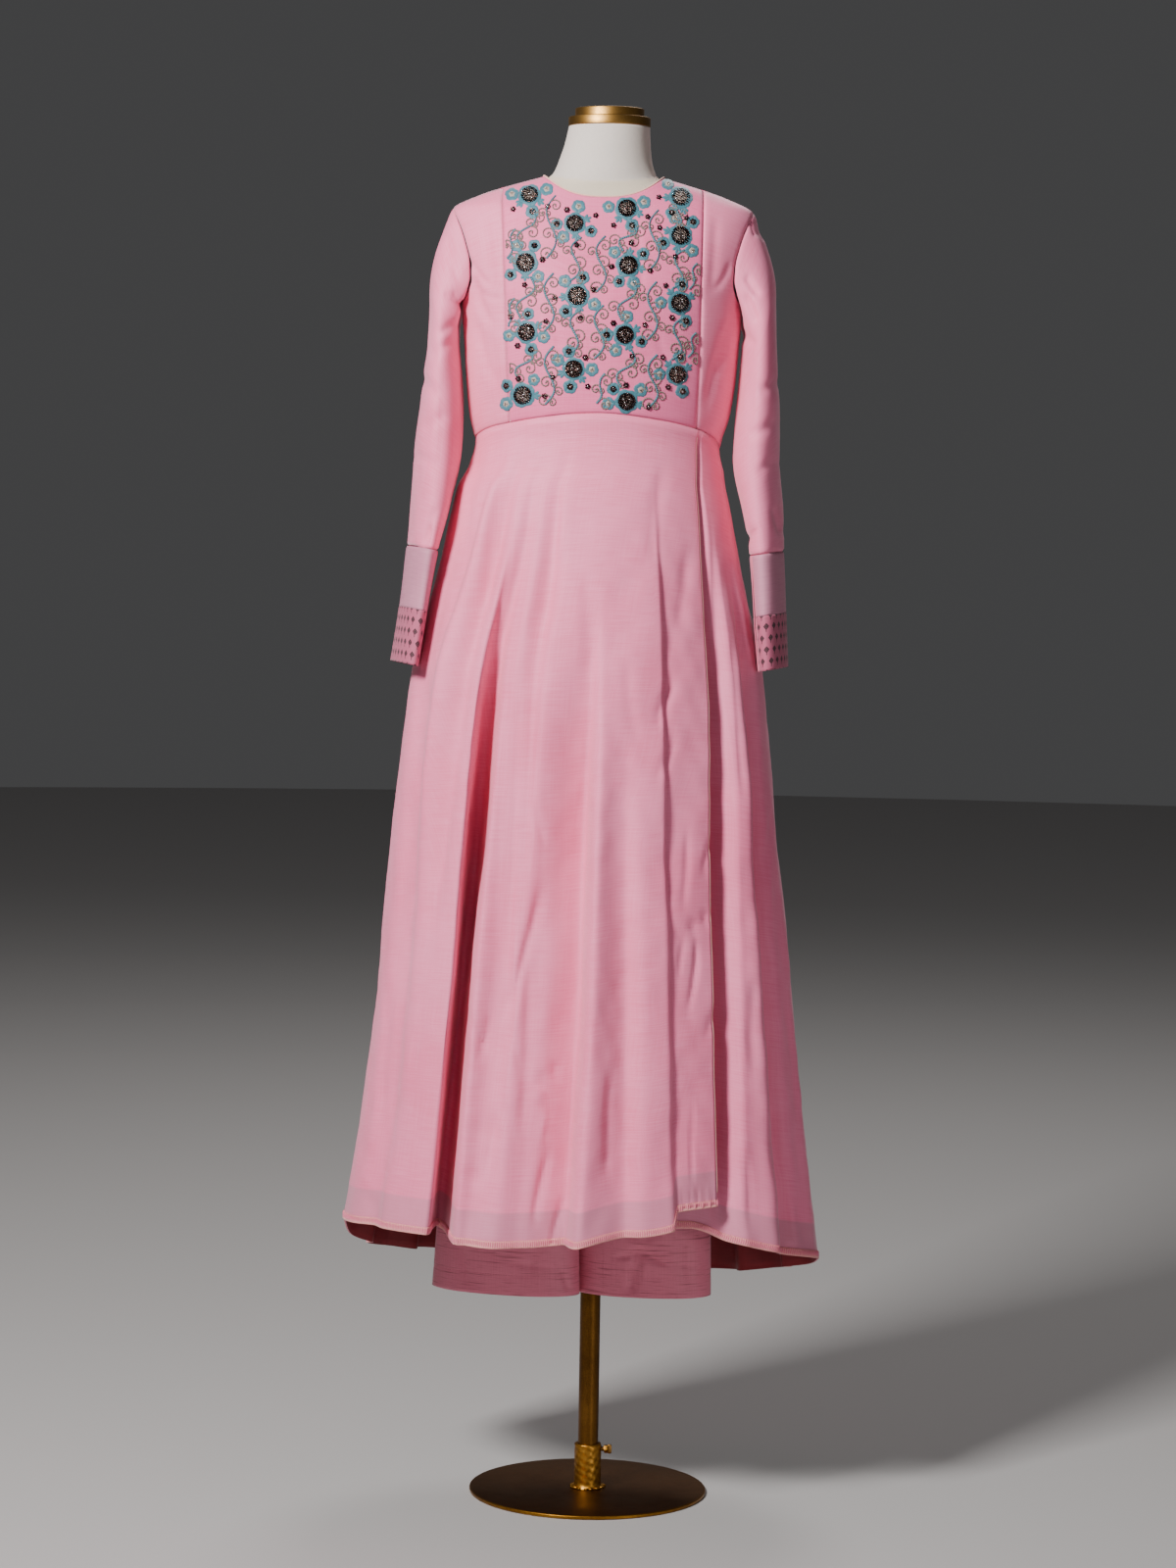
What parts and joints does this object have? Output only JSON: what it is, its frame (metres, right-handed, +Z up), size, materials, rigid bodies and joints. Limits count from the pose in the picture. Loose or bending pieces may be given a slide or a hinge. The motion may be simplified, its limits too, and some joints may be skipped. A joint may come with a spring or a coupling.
{
  "type": "kurti with pants on a dress form",
  "caption": "Flared kurti with an embroidered yoke, empire waist and overlapped skirt over straight pants, worn by a limbless dress form on a pole and disc.",
  "frame": {"origin": "middle of the underside of the stand's base disc, under the pole", "axes": "+Z up, -Y to the front of the garment, +X to the viewer's right"},
  "size_m": [0.6017, 0.4628, 1.7303],
  "materials": {
    "kurti_cloth": "soft cotton silk with a slight sheen",
    "yoke_cloth": "cotton silk, embroidered",
    "cuff_cloth": "matt cotton silk",
    "cuff_print": "printed cotton",
    "trim": "ribbed cotton tape and piping",
    "pants_silk": "raw silk with slubs",
    "form_cotton": "off-white cotton jersey",
    "aged_brass": "aged satin brass",
    "brushed_brass": "brushed brass",
    "bronze_disc": "dark bronze"
  },
  "bodies": {
    "stand_base": {"base_disc": "bronze_disc", "pole_collar": "aged_brass"},
    "clamp": {"clamp_screw": "brushed_brass"},
    "dressed_form": {"bodice_front_left": "kurti_cloth", "bodice_front_right": "kurti_cloth", "bodice_back_left": "kurti_cloth", "bodice_back_right": "kurti_cloth", "sleeve_left": "kurti_cloth", "sleeve_right": "kurti_cloth", "skirt_front": "kurti_cloth", "skirt_under": "kurti_cloth", "skirt_back_left": "kurti_cloth", "skirt_back_right": "kurti_cloth", "yoke_front": "yoke_cloth", "cuff_left": "cuff_cloth", "cuff_right": "cuff_cloth", "cuff_band_left": "cuff_print", "cuff_band_right": "cuff_print", "neck_piping": "trim", "overlap_piping": "trim", "hem_trim_front": "trim", "hem_trim_under": "trim", "hem_trim_back_left": "trim", "hem_trim_back_right": "trim", "pants_left": "pants_silk", "pants_right": "pants_silk", "pants_waistband": "pants_silk", "form_torso": "form_cotton", "pole": "aged_brass", "neck_cap": "brushed_brass"}
  },
  "joints": [
    {"name": "pole_swivel", "type": "hinge", "parent": "stand_base", "child": "dressed_form", "pos_m": [0, 0, 0.03], "axis": [0, 0, 1], "continuous": true},
    {"name": "clamp_turn", "type": "hinge", "parent": "stand_base", "child": "clamp", "pos_m": [0.0215, 0, 0.0535], "axis": [1, 0, 0], "continuous": true}
  ]
}
